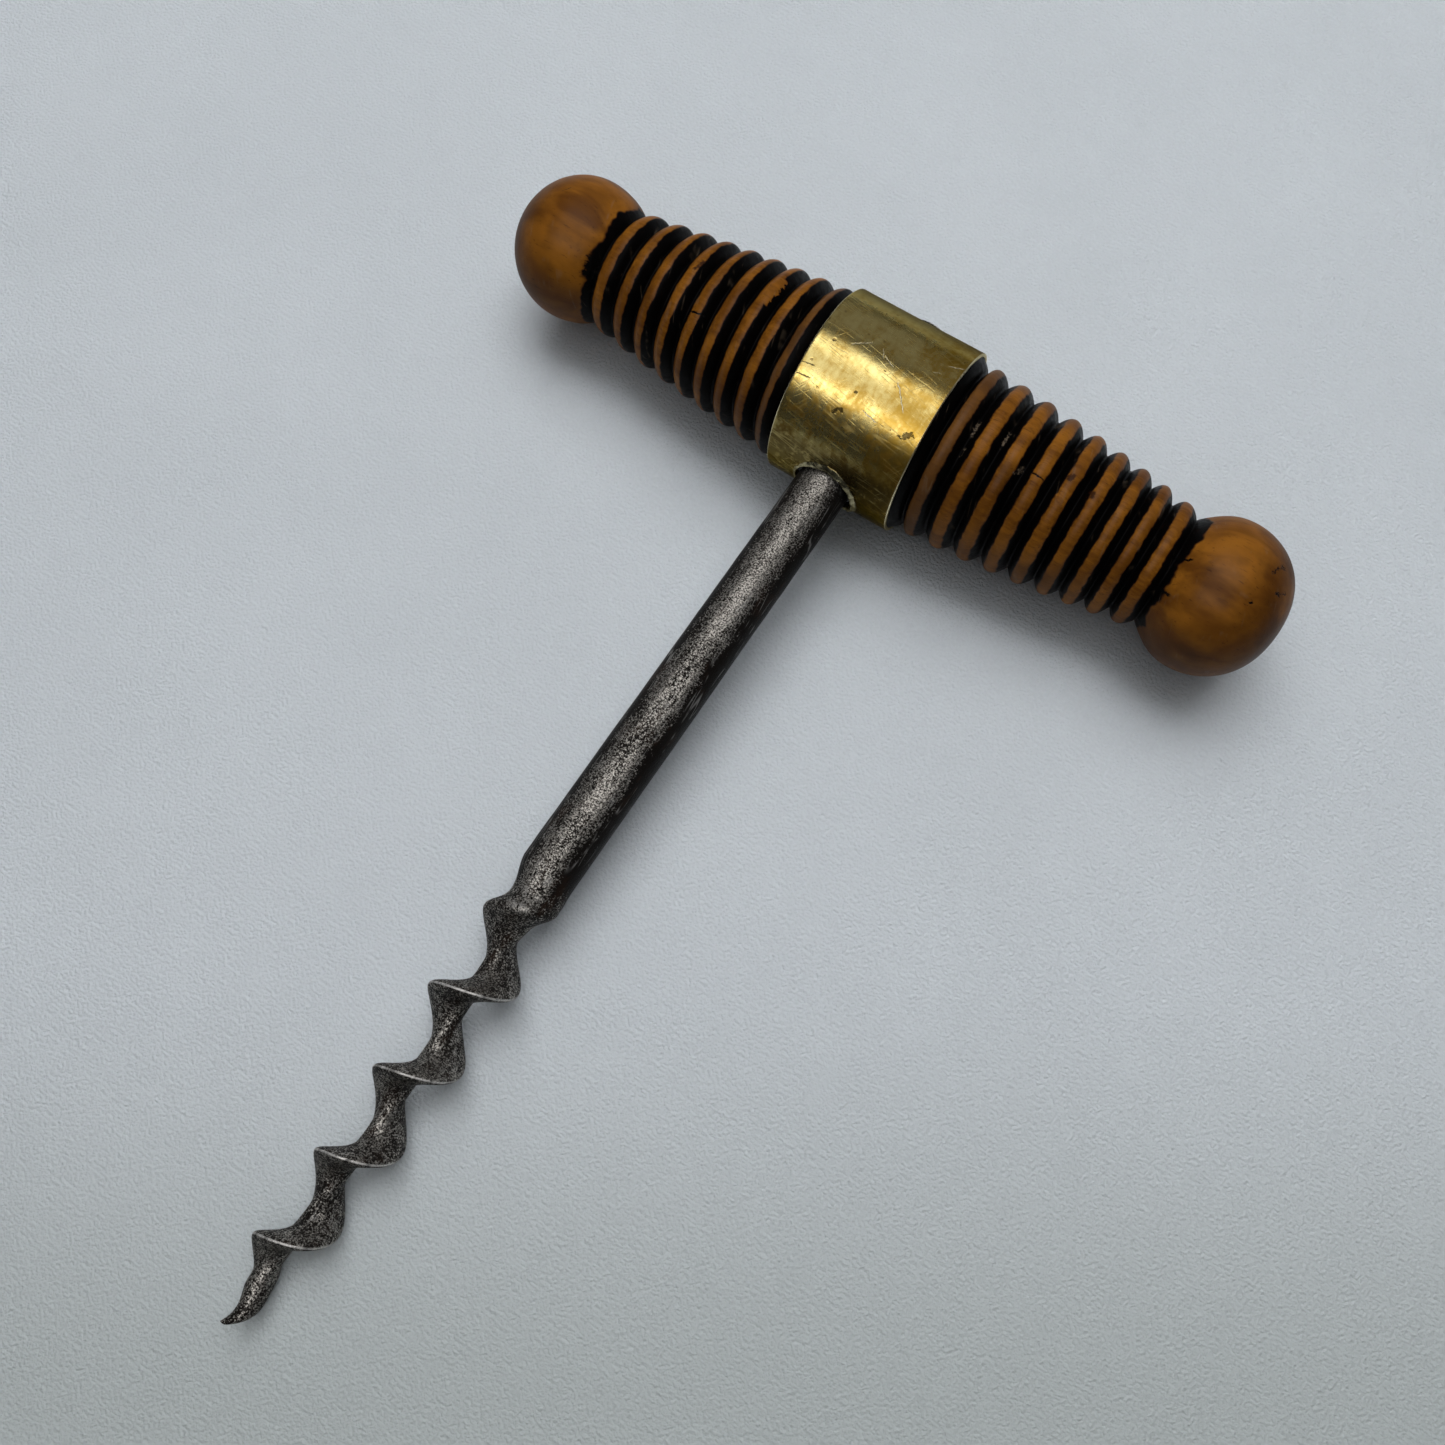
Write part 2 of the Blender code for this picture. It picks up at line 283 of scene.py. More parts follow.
class SharedEffects:
    """Shader node groups that more than one finish uses, each built once."""

    def __init__(self) -> None:
        """Start with no group built."""
        self.made: dict[str, bpy.types.NodeTree] = {}

    def place(self, graph: Graph, draw: Callable[[Graph, dict[str, Value]], dict[str, Value]],
              inputs: dict[str, object]) -> bpy.types.Node:
        """Put a shared group into a material, building it the first time.

        Args:
            graph: The material's graph.
            draw: Fills the group and returns its outputs by name; the group has this method's name.
            inputs: Values for the group's inputs, by name.

        Returns:
            The group node.
        """
        name = draw.__name__
        if name not in self.made:
            tree = bpy.data.node_groups.new(name, "ShaderNodeTree")
            for label in inputs:
                kind = "NodeSocketVector" if label == "Vector" else "NodeSocketFloat"
                tree.interface.new_socket(name=label, in_out="INPUT", socket_type=kind)
            inner = Graph(tree)
            results = draw(inner, inner.given())
            for label in results:
                tree.interface.new_socket(
                    name=label, in_out="OUTPUT", socket_type="NodeSocketFloat")
            inner.add("NodeGroupOutput", results)
            self.made[name] = tree
        return graph.add("ShaderNodeGroup", inputs, node_tree=self.made[name])

    def round_surface(self, graph: Graph, given: dict[str, Value]) -> dict[str, Value]:
        """Unroll a surface that is turned about a line parallel to X."""
        x, y, z = graph.parts(given["Vector"])
        y = y - given["Axis Y"]
        z = z - given["Axis Z"]
        return {
            "Along": x,
            "Around": graph.math("ARCTAN2", y, z) * given["Unrolled Radius"],
            "Radius": graph.math("SQRT", y * y + z * z),
        }

    def stroke(self, graph: Graph, given: dict[str, Value]) -> dict[str, Value]:
        """Draw one straight mark on an unrolled surface."""
        x = given["Along"] - given["Place Along"]
        y = given["Around"] - given["Place Around"]
        cosine, sine = graph.math("COSINE", given["Turn"]), graph.math("SINE", given["Turn"])
        run = x * cosine + y * sine
        wander = graph.noise(graph.vector(given["Along"], given["Around"]), 0.5 * MM, 3.0, 0.7)
        side = abs((wander - 0.5) * given["Wobble"] * 4.0 + (y * cosine - x * sine))
        across = 1.0 - side / given["Half Width"]
        ends = 1.0 - abs(run) / given["Half Length"]
        return {"Mask": graph.span(across, 0.0, 0.6) * graph.span(ends, 0.0, 0.35)}

    def hairlines(self, graph: Graph, given: dict[str, Value]) -> dict[str, Value]:
        """Draw fine handling scratches in one main direction."""
        turned = graph.out("ShaderNodeVectorRotate", {
            "Vector": given["Vector"], "Angle": given["Turn"]}, rotation_type="Z_AXIS")
        lines = graph.out("ShaderNodeTexNoise", {
            "Vector": graph.stretch(turned, 0.06, 1.0), "Detail": 1.0, "Roughness": 0.4,
            "Scale": 1.0 / given["Spacing"]})
        line = 1.0 - abs(lines - 0.5) / given["Width"]
        patches = graph.noise(given["Vector"], 2.5 * MM, 2.0) + (given["Amount"] - 0.5)
        return {"Mask": graph.span(line, 0.0, 1.0) * graph.span(patches, 0.45, 0.62)}

    def specks(self, graph: Graph, given: dict[str, Value]) -> dict[str, Value]:
        """Scatter small round pits or specks."""
        warp = graph.out("ShaderNodeTexNoise", {
            "Vector": given["Vector"], "Scale": 3.0 / MM, "Detail": 2.0}, "Color")
        bent = graph.out("ShaderNodeVectorMath", {0: warp, 1: (0.25 * MM,) * 3, 2: given["Vector"]},
                         operation="MULTIPLY_ADD")
        cells = graph.add("ShaderNodeTexVoronoi", {
            "Vector": bent, "Scale": 1.0 / given["Spacing"]}).outputs
        pick, size, _ = graph.parts(Value(graph, cells["Color"]))
        near = 1.0 - Value(graph, cells["Distance"]) / (size * 0.28 + 0.08)
        return {"Mask": graph.span(near, 0.0, 0.6) * graph.math("LESS_THAN", pick, given["Amount"])}


EFFECTS = SharedEffects()


class Skin:
    """A material in the making on one piece, with the marks that lie on its surface."""

    def __init__(self, name: str, place: Callable[[Graph], Value] = Graph.object_place) -> None:
        """Start a material.

        Args:
            name: Name of the material.
            place: Gives the place on the piece.
        """
        self.material = bpy.data.materials.new(name)
        self.material.use_nodes = True
        self.graph = Graph(self.material.node_tree)
        self.sockets = self.material.node_tree.nodes["Principled BSDF"].inputs
        self.place = place(self.graph)

    def unroll(self, axis: Vector, radius: float) -> None:
        """Unroll a surface turned about the handle's axis, so that marks can be laid out on it."""
        node = EFFECTS.place(self.graph, EFFECTS.round_surface, {
            "Vector": self.place, "Axis Y": axis.y, "Axis Z": axis.z, "Unrolled Radius": radius})
        self.along, self.around, self.reach = (Value(self.graph, part) for part in node.outputs)
        self.flat = self.graph.vector(self.along, self.around)
        self.radius = radius

    def strokes(self, marks: tuple[Stroke, ...]) -> Value:
        """Return the mask of several marks on the unrolled surface."""
        return self.graph.strongest(*(
            Value(self.graph, EFFECTS.place(self.graph, EFFECTS.stroke, {
                "Along": self.along, "Around": self.around, "Place Along": mark.along_mm * MM,
                "Place Around": math.radians(mark.around_deg) * self.radius,
                "Turn": math.radians(mark.turn_deg), "Half Length": mark.length_mm * MM / 2.0,
                "Half Width": mark.width_mm * MM / 2.0, "Wobble": mark.wobble_mm * MM,
            }).outputs["Mask"])
            for mark in marks))

    def hairlines(self, place: Value, turn_deg: float, spacing_mm: float, width: float,
                  amount: float) -> Value:
        """Return the mask of fine scratches that lie in one direction."""
        return Value(self.graph, EFFECTS.place(self.graph, EFFECTS.hairlines, {
            "Vector": place, "Turn": math.radians(turn_deg), "Spacing": spacing_mm * MM,
            "Width": width, "Amount": amount}).outputs["Mask"])

    def specks(self, spacing_mm: float, amount: float) -> Value:
        """Return the mask of scattered specks."""
        return Value(self.graph, EFFECTS.place(self.graph, EFFECTS.specks, {
            "Vector": self.place, "Spacing": spacing_mm * MM, "Amount": amount}).outputs["Mask"])

    def feed(self, **values: object) -> None:
        """Fill the shader's sockets, whose names are given with _ for each space."""
        for name, value in values.items():
            self.graph.feed(self.sockets[name.replace("_", " ")], value)


# ------------------------------------------------------------------ finishes


@dataclass(frozen=True)
class TurnedWoodFinish:
    """Honey-coloured fruitwood with black stain run into the grooves and rubbed off the crests.

    Attributes:
        light: Colour of the lightest bare wood.
        dark: Colour of the darkest bare wood.
        dull: Colour of the worn first ridges beside the sleeve.
        grubby: Colour of wood darkened by handling, and of the painted shade on the balls'
            undersides.
        scorched: Colour between the bare wood and the stain.
        stain: Colour of the stain.
        scuffed: Colour of pale scuffs.
        left_band: Middle of the bare band from the crest on the left, outwards, and its half
            width, in ridge pitches.
        right_band: The same on the right.
        left_first: The same on the first ridge on the left.
        right_first: The same on the first ridge on the right.
        neck_edge: Where the stain ends on the ball, in ridge pitches.
        marks: Cracks and dents.
        smears: Stain smeared over bare wood.
        scuffs: Worn pale streaks in the stain.
        rubbed_spots: Places where the stain is rubbed off beside a crest.
    """

    light: Display = (146, 92, 26)
    dark: Display = (95, 55, 12)
    dull: Display = (80, 56, 34)
    grubby: Display = (66, 38, 10)
    scorched: Display = (44, 22, 8)
    stain: Display = (4, 3, 3)
    scuffed: Display = (128, 112, 94)
    left_band: tuple[float, float] = (0.115, 0.255)
    right_band: tuple[float, float] = (0.005, 0.255)
    left_first: tuple[float, float] = (0.16, 0.19)
    right_first: tuple[float, float] = (-0.03, 0.27)
    neck_edge: float = 8.78
    marks: tuple[Stroke, ...] = (
        Stroke(-21.3, -28.2, 10.0, 2.1, 0.32),
        Stroke(-20.7, -34.0, 84.0, 2.0, 0.14),
        Stroke(18.7, -14.3, -6.0, 1.9, 0.26),
        Stroke(43.0, -18.5, 40.0, 0.5, 0.3),
        Stroke(45.1, 0.2, 10.0, 0.4, 0.25),
        Stroke(-42.0, 10.0, 60.0, 1.6, 0.10),
        Stroke(-47.1, -20.0, 80.0, 5.0, 1.0, 0.4),
        Stroke(35.4, -12.0, 24.0, 2.0, 0.30, 0.3),
        Stroke(35.2, -44.0, 10.0, 2.2, 0.34, 0.3),
        Stroke(43.8, 18.0, 74.0, 3.6, 0.26, 0.5),
        Stroke(45.2, 4.0, 60.0, 2.6, 0.22, 0.4),
        Stroke(-35.4, -38.0, 88.0, 4.8, 1.7, 0.5),
    )
    smears: tuple[Stroke, ...] = (
        Stroke(21.6, -3.6, 70.0, 1.3, 0.8, 0.3),
        Stroke(24.3, -6.3, 100.0, 1.2, 0.8, 0.3),
        Stroke(-24.0, 4.0, 80.0, 2.2, 0.5, 0.3),
    )
    scuffs: tuple[Stroke, ...] = (
        Stroke(10.8, -6.1, 92.0, 2.6, 0.5, 0.2),
        Stroke(14.0, -2.3, 90.0, 2.8, 0.4, 0.2),
        Stroke(16.8, -16.5, 70.0, 1.8, 0.5, 0.3),
        Stroke(10.9, -24.0, 90.0, 1.4, 0.3, 0.2),
    )
    rubbed_spots: tuple[Stroke, ...] = (Stroke(-15.1, 11.0, 88.0, 6.0, 1.1, 0.3),)

    def bare_wood(self, skin: Skin, ridge: Value, fibres: Value, figure: Value,
                  patches: Value) -> Value:
        """Return the colour of the wood under the stain.

        Args:
            skin: The material.
            ridge: Place along the handle in ridge pitches.
            fibres: Fine grain.
            figure: Broad figure of the wood.
            patches: Lighter and darker areas.

        Returns:
            The colour.
        """
        graph, radius = skin.graph, skin.radius
        tone = graph.between(graph.span(ridge, 8.4, 9.0, 0.40, 0.10), figure, fibres)
        wood = graph.blend(graph.span(tone, 0.33, 0.66), paint(self.dark), paint(self.light))
        wood = graph.blend(graph.span(patches, 0.45, 0.7, 0.0, 0.6), wood, paint(self.dark))
        handled = graph.noise(skin.place, 9.0 * MM, 4.0, 0.6)
        wood = graph.blend(graph.span(handled, 0.50, 0.72, 0.0, 0.6), wood, paint(self.grubby))
        ball_end = graph.span(ridge, 10.6, 12.4, 0.0, 0.75)
        # Painted shade: the balls' sides that face down towards the near side are darkened towards
        # the grime colour, standing in for the shade there; the darker ball ends are real grime.
        below = graph.span(skin.around, -0.70 * radius, -1.35 * radius, 0.0, 0.5)
        below = below * graph.span(ridge, 8.4, 9.0)
        soiled_and_shaded = graph.strongest(ball_end, below) * graph.span(handled, 0.35, 0.55, 0.45, 1.0)
        wood = graph.blend(soiled_and_shaded, wood, paint(self.grubby))
        return graph.blend(graph.span(ridge, 0.45, 0.52, 0.6, 0.0), wood, paint(self.dull))

    def bared(self, skin: Skin, ridge: Value) -> Value:
        """Return how far inside a bare band a point lies, in ridge pitches, below 0 in the stain.

        Args:
            skin: The material.
            ridge: Place along the handle in ridge pitches.

        Returns:
            The distance.
        """
        graph = skin.graph
        wander = graph.noise(skin.flat, 2.2 * MM, 2.0)
        nibble = graph.noise(skin.place, 0.40 * MM, 3.0, 0.6)
        waver = wander * 0.16 + (nibble * 0.05 - 0.105)
        on_right = graph.math("GREATER_THAN", skin.along, 0.0)
        middle, half = (
            graph.between(on_right, graph.span(ridge, 0.45, 0.52, left_first, left),
                          graph.span(ridge, 0.45, 0.52, right_first, right))
            for left_first, left, right_first, right in zip(
                self.left_first, self.left_band, self.right_first, self.right_band))
        inside = half - abs(ridge - graph.math("ROUND", ridge) - middle + waver)
        on_ridges = graph.math("LESS_THAN", ridge, 8.5) * graph.math("GREATER_THAN", ridge, -0.5)
        brushed = graph.noise(graph.stretch(skin.place, 0.35, 1.0), 2.6 * MM, 2.0, 0.5)
        neck = ridge - self.neck_edge - (brushed * 0.8 - 0.4)
        inside = graph.strongest(on_ridges * (inside + 1.0) - 1.0, neck * 0.7)
        return graph.strongest(inside, skin.strokes(self.rubbed_spots) * 0.2 - 0.12)

    def material(self, axis: Vector, radius: float) -> bpy.types.Material:
        """Build the material.

        Args:
            axis: A point on the handle's axis.
            radius: Radius at which marks are laid out.

        Returns:
            The material.
        """
        skin = Skin("turned_wood")
        skin.unroll(axis, radius)
        graph, place = skin.graph, skin.place
        ridge = graph.attribute("ridge_place", "Fac")
        grain = graph.stretch(place, 0.12, 1.0)
        fibres = graph.noise(grain, 0.35 * MM, 4.0, 0.65)
        figure = graph.noise(graph.stretch(place, 0.3, 1.0), 3.2 * MM, 3.0, 0.5, 0.6)
        patches = graph.noise(place, 6.0 * MM, 2.0)
        blotch = graph.noise(place, 0.9 * MM, 3.0, 0.6)
        wood = self.bare_wood(skin, ridge, fibres, figure, patches)
        inside = self.bared(skin, ridge)
        bare = graph.span(inside, 0.0, 0.03)

        colour = graph.blend(graph.span(inside, 0.01, 0.07), paint(self.scorched), wood)
        grime = graph.span(graph.noise(grain, 0.22 * MM, 2.0, 0.5), 0.62, 0.75, 0.0, 0.5)
        colour = graph.blend(grime, colour, paint(self.scorched))
        thin = graph.span(blotch, 0.60, 0.78, 0.0, 0.2)
        black = graph.blend(thin, paint(self.stain), paint(self.scorched))
        colour = graph.blend(bare, black, colour)
        cracks = skin.strokes(self.marks)
        colour = graph.blend(cracks, colour, paint(self.stain))
        colour = graph.blend(skin.strokes(self.smears) * 0.85, colour, paint(self.scorched))
        worn = skin.strokes(self.scuffs) * graph.span(fibres, 0.45, 0.6)
        scuff = graph.strongest(skin.hairlines(skin.flat, 78.0, 1.4, 0.03, 0.42) * 0.35, worn)
        colour = graph.blend(scuff * 0.55, colour, paint(self.scuffed))

        satin = graph.span(patches, 0.3, 0.7, 0.40, 0.52)
        glossy = graph.span(blotch, 0.3, 0.7, 0.32, 0.52)
        height = blotch * 0.5 + (fibres * 0.35 + figure * 0.5 - bare * 0.35) - cracks * 1.6
        skin.feed(
            Base_Color=colour, Roughness=graph.between(bare, glossy, satin),
            Coat_Weight=graph.between(bare, 0.01, 0.13), Coat_Roughness=0.30,
            Specular_IOR_Level=0.04, Normal=graph.bumped(height, 0.05 * MM))
        return skin.material


@dataclass(frozen=True)
class SleeveBrassFinish:
    """Old rubbed brass, tarnished brown-green away from the worn top.

    Attributes:
        bright: Colour of rubbed brass.
        olive: Colour of thin tarnish.
        brown: Colour of heavy tarnish.
        cut: Colour of the cut ends.
        verdigris: Dull colour in the torn rim's hollows.
        torn_edge: Colour of the torn rim's raised parts.
        far_side: Colour of the painted dark reflection on the far side.
        near_side: Colour of the painted shade on the near side round the shank, and of dark
            scratches.
        scratches: Bright scratches.
        stains: Dark scratches and spots.
    """

    bright: Display = (228, 208, 138)
    olive: Display = (180, 143, 58)
    brown: Display = (120, 82, 24)
    cut: Display = (240, 228, 190)
    verdigris: Display = (118, 110, 84)
    torn_edge: Display = (168, 160, 128)
    far_side: Display = (92, 83, 60)
    near_side: Display = (60, 50, 30)
    scratches: tuple[Stroke, ...] = (
        Stroke(-3.7, 1.8, 34.8, 2.5, 0.16, 0.15),
        Stroke(-0.2, 0.0, -26.0, 1.8, 0.14),
        Stroke(-1.2, 2.6, -62.0, 1.4, 0.12),
        Stroke(2.8, -14.7, -49.5, 3.6, 0.16),
        Stroke(5.9, 17.9, 24.0, 1.9, 0.16),
        Stroke(4.6, 8.0, 20.0, 1.0, 0.1),
        Stroke(1.0, -32.0, -14.0, 2.2, 0.14),
    )
    stains: tuple[Stroke, ...] = (
        Stroke(-7.5, -22.8, 6.0, 2.0, 0.14),
        Stroke(-7.3, -29.6, 6.0, 1.9, 0.18),
        Stroke(-2.4, -37.4, 30.0, 1.5, 0.6, 0.4),
        Stroke(5.4, -31.0, 50.0, 1.4, 0.6, 0.4),
        Stroke(4.9, -33.5, 0.0, 1.1, 0.2, 0.2),
        Stroke(-1.5, -24.0, 0.0, 0.4, 0.3),
    )

    def material(self, axis: Vector, radius: float,
                 ends: tuple[float, float]) -> bpy.types.Material:
        """Build the material.

        Args:
            axis: A point on the handle's axis.
            radius: Outer radius of the sleeve.
            ends: Where the sleeve starts and ends along X.

        Returns:
            The material.
        """
        skin = Skin("sleeve_brass")
        skin.unroll(axis, radius)
        graph, place, around = skin.graph, skin.place, skin.around
        clouds = graph.noise(place, 3.6 * MM, 5.0, 0.62, 0.4)
        mottle = graph.noise(place, 0.7 * MM, 4.0, 0.65)
        streaks = graph.noise(graph.stretch(skin.flat, 1.0, 0.25), 0.8 * MM, 3.0, 0.6)
        side = graph.span(around, 0.0, -0.6 * radius) * 0.06
        tarnish = clouds * 0.38 + (mottle * 0.34 + streaks * 0.28)
        tarnish = side + (tarnish + graph.span(skin.along, 0.0, 5.0 * MM, 0.0, 0.12))
        tarnish = graph.span(tarnish, 0.40, 0.72)
        colour = graph.blend(tarnish, paint(self.bright), paint(self.olive))
        spots = skin.specks(0.9, 0.16)
        heavy = graph.span(side + (mottle * 0.5 + clouds * 0.5), 0.56, 0.68)
        heavy = heavy * graph.span(around, -0.60 * radius, -0.90 * radius, 0.12, 0.6)
        colour = graph.blend(graph.strongest(heavy, spots * 0.55), colour, paint(self.brown))
        # Painted shade: the near side round the shank is darkened, standing in for the shade and
        # dark reflection there; the dark scratches and spots further down are real.
        under = graph.span(around, -0.82 * radius, -1.22 * radius, 0.0, 0.88)
        under = under * graph.span(mottle, 0.3, 0.5, 0.75, 1.0)
        colour = graph.blend(under, colour, paint(self.near_side))
        # Painted shade: the far side is darkened, standing in for the dim room it reflects; the
        # same mask also roughens it.
        over = graph.span(around, 0.42 * radius, 0.92 * radius, 0.0, 0.85)
        colour = graph.blend(over, colour, paint(self.far_side))

        hair = graph.strongest(skin.hairlines(skin.flat, 12.0, 0.8, 0.025, 0.55),
                               skin.hairlines(skin.flat, -52.0, 1.2, 0.018, 0.45))
        bright, dark = skin.strokes(self.scratches), skin.strokes(self.stains)
        from_end = graph.math("MINIMUM", skin.along - ends[0], ends[1] - skin.along)
        colour = graph.blend(hair * 0.35, colour, paint(self.bright))
        colour = graph.blend(bright, colour, paint(self.cut))
        colour = graph.blend(graph.span(from_end, 0.16 * MM, 0.03 * MM), colour, paint(self.cut))
        torn = graph.span(skin.reach, radius + 0.02 * MM, radius + 0.07 * MM)
        raised = graph.span(mottle, 0.35, 0.6)
        rim = graph.blend(raised, paint(self.verdigris), paint(self.torn_edge))
        colour = graph.blend(torn, colour, rim)
        colour = graph.blend(dark * 0.85, colour, paint(self.near_side))

        rough = tarnish * 0.10 + 0.20 + heavy * 0.22 + hair * 0.08 + bright * 0.2 + over * 0.34
        cuts = graph.strongest(hair * 0.2, bright, dark)
        height = clouds * 0.30 + (mottle * 0.35 + streaks * 0.25) - cuts * 0.9 - spots * 0.5
        skin.feed(Base_Color=colour, Metallic=1.0, Specular_Tint=(0.6, 0.55, 0.42, 1.0),
                  Roughness=rough, Normal=graph.bumped(height, 0.03 * MM))
        return skin.material


@dataclass(frozen=True)
class ForgedSteelFinish:
    """Old hand-forged steel, brown-black with rust pits and rubbed bright on its edges.

    Attributes:
        worn: Colour of the rubbed metal's bright grains.
        dull: Colour of its dull grains.
        oxide: Colour of the dark skin.
        rust: Colour of the rust in the hollows.
        edge: Colour of the bright edges.
    """

    worn: Display = (206, 201, 193)
    dull: Display = (74, 70, 66)
    oxide: Display = (22, 19, 17)
    rust: Display = (46, 30, 20)
    edge: Display = (205, 202, 198)

    def material(self) -> bpy.types.Material:
        """Build and return the material."""
        skin = Skin("forged_steel", lambda graph: graph.attribute("screw_place", "Vector"))
        graph, place = skin.graph, skin.place
        fin = graph.attribute("fin", "Fac")
        drawn = graph.stretch(place, 1.0, 0.35)
        pits = graph.noise(place, 0.2 * MM, 3.0, 0.6)
        grain = graph.noise(drawn, 0.9 * MM, 4.0, 0.65, 0.3)
        broad = graph.noise(graph.stretch(place, 1.0, 0.5), 4.0 * MM, 3.0, 0.55)
        across, along, height_up = graph.parts(place)
        reach = graph.math("SQRT", across * across + height_up * height_up)
        upward = height_up / graph.strongest(reach, 0.01 * MM)
        on_worm = graph.span(along, -60.0 * MM, -66.0 * MM)
        mix = pits * 0.52 + (grain * 0.34 + broad * 0.14)
        # Painted highlight: on the shank the upward-facing side is made bright rubbed metal and the
        # sides dark oxide, standing in for the overhead light's reflection; the pits, grain and
        # rubbing near the handle are real wear.
        mix = mix + graph.between(on_worm, graph.span(upward, 0.50, 0.98, -0.17, 0.01), -0.02)
        mix = mix + graph.span(along, -32.0 * MM, -12.0 * MM, 0.0, 0.03)
        rubbed = graph.span(mix, 0.44, 0.55)
        glint = graph.span(graph.noise(place, 0.16 * MM, 2.0, 0.6), 0.40, 0.62)
        metal = graph.blend(glint, paint(self.dull), paint(self.worn))
        colour = graph.blend(rubbed, paint(self.oxide), metal)
        rusty = graph.span(graph.noise(drawn, 1.6 * MM, 4.0, 0.7), 0.54, 0.70, 0.0, 0.55)
        colour = graph.blend(rusty * (1.0 - rubbed * 0.5), colour, paint(self.rust))
        flecks = skin.specks(0.42, 0.22)
        colour = graph.blend(flecks * 0.75, colour, paint(self.oxide))
        hair = skin.hairlines(place, 84.0, 0.9, 0.03, 0.5)
        colour = graph.blend(hair * 0.3, colour, paint(self.edge))
        bright = graph.span(fin, 0.985, 0.999) * graph.span(grain, 0.35, 0.55, 0.25, 1.0)
        colour = graph.blend(bright, colour, paint(self.edge))
        height = broad * 1.4 + (pits * 1.1 + grain) - flecks * 0.6
        skin.feed(
            Base_Color=colour, Metallic=graph.between(rubbed, 0.15, 1.0),
            Specular_Tint=(0.2, 0.2, 0.2, 1.0), Specular_IOR_Level=0.15,
            Roughness=graph.between(rubbed, 0.50, 0.34) + flecks * 0.12 - bright * 0.08,
            Normal=graph.bumped(height, 0.06 * MM))
        return skin.material


@dataclass(frozen=True)
class FloorFinish:
    """Pale painted board with a fine orange-peel texture.

    Attributes:
        tone: Colour of the board.
        shade: Colour of its faint darker clouds.
        dusty: Colour of its orange-peel specks, and of the painted light falloff on its near side.
        dusty_way: Direction along the floor in which the painted light falloff darkens it.
    """

    tone: Display = (218, 224, 229)
    shade: Display = (215, 221, 226)
    dusty: Display = (188, 195, 195)
    dusty_way: tuple[float, float] = (0.536, -0.844)

    def material(self) -> bpy.types.Material:
        """Build and return the material."""
        skin = Skin("pale_floor")
        graph = skin.graph
        clouds = graph.noise(skin.place, 30.0 * MM, 3.0)
        peel = graph.noise(skin.place, 0.36 * MM, 2.0, 0.5)
        x, y, _ = graph.parts(skin.place)
        away = x * self.dusty_way[0] + y * self.dusty_way[1]
        colour = graph.blend(graph.span(clouds, 0.35, 0.65), paint(self.tone), paint(self.shade))
        colour = graph.blend(graph.span(peel, 0.35, 0.65, 0.0, 0.10), colour, paint(self.dusty))
        # Painted shade: the floor darkens towards its near side, standing in for the light falling
        # off there.
        colour = graph.blend(graph.span(away, 12.0 * MM, 62.0 * MM), colour, paint(self.dusty))
        skin.feed(Base_Color=colour, Roughness=graph.span(peel, 0.3, 0.7, 0.5, 0.62),
                  Normal=graph.bumped(peel, 0.28 * MM))
        return skin.material


# ------------------------------------------------------------------ mesh helpers


def link_mesh(name: str, mesh: bpy.types.Mesh) -> bpy.types.Object:
    """Return a new object of the scene that holds a mesh."""
    item = bpy.data.objects.new(name, mesh)
    bpy.context.scene.collection.objects.link(item)
    return item


def circle(angles: list[float], radius: float, station: float, shift: float = 0.0) -> list[Vector]:
    """Return points at given angles of a circle round -Y, whose middle is moved along X."""
    return [Vector((shift + radius * math.sin(angle), -station, radius * math.cos(angle)))
            for angle in angles]


def join_rings(name: str, rings: list[list[Vector]], looped: bool = False) -> bpy.types.Object:
    """Join rings of points into a closed shell.

    Args:
        name: Name of the new object.
        rings: Rings with the same number of points each.
        looped: Whether the last ring joins the first, as in a tube with a bore.

    Returns:
        The new object.
    """
    bm = bmesh.new()
    rows = [[bm.verts.new(point) for point in ring] for ring in rings]
    pairs = list(zip(rows, rows[1:]))
    if looped:
        pairs.append((rows[-1], rows[0]))
    for near, far in pairs:
        for i, _ in enumerate(near):
            j = (i + 1) % len(near)
            bm.faces.new((near[i], near[j], far[j], far[i]))
    if not looped:
        bm.faces.new(rows[0])
        bm.faces.new(rows[-1])
    bmesh.ops.recalc_face_normals(bm, faces=bm.faces)
    mesh = bpy.data.meshes.new(name)
    bm.to_mesh(mesh)
    bm.free()
    mesh.shade_smooth()
    return link_mesh(name, mesh)


def carve(target: bpy.types.Object, tool: bpy.types.Object, operation: str = "DIFFERENCE") -> None:
    """Cut a closed tool from a target, or join it on.

    Args:
        target: Object that gets the modifier.
        tool: Closed object to cut with.
        operation: Blender's name of the boolean operation.
    """
    cut = target.modifiers.new("carve_" + tool.name, "BOOLEAN")
    cut.operation = operation
    cut.solver = "EXACT"
    cut.object = tool


def settle(item: bpy.types.Object, tools: tuple[bpy.types.Object, ...]) -> None:
    """Turn an object's modifiers into plain mesh and remove the tools it was cut with.

    Args:
        item: Object to finish.
        tools: Helper objects that are no longer needed.
    """
    bpy.context.view_layer.update()
    graph = bpy.context.evaluated_depsgraph_get()
    mesh = bpy.data.meshes.new_from_object(
        item.evaluated_get(graph), preserve_all_data_layers=True, depsgraph=graph)
    item.modifiers.clear()
    old, item.data = item.data, mesh
    mesh.name = item.name
    bpy.data.meshes.remove(old)
    for tool in tools:
        bpy.data.objects.remove(tool, do_unlink=True)


def publish(item: bpy.types.Object, node: str, slot: Slot) -> None:
    """Hand a finished piece to the frame.

    Args:
        item: The piece.
        node: CAD node it stands for.
        slot: Not used.
    """
    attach(item, BODY)
    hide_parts(node)
    LOG.info("%s: %d faces, stands for %s", item.name, len(item.data.polygons), node)


# ------------------------------------------------------------------ handle


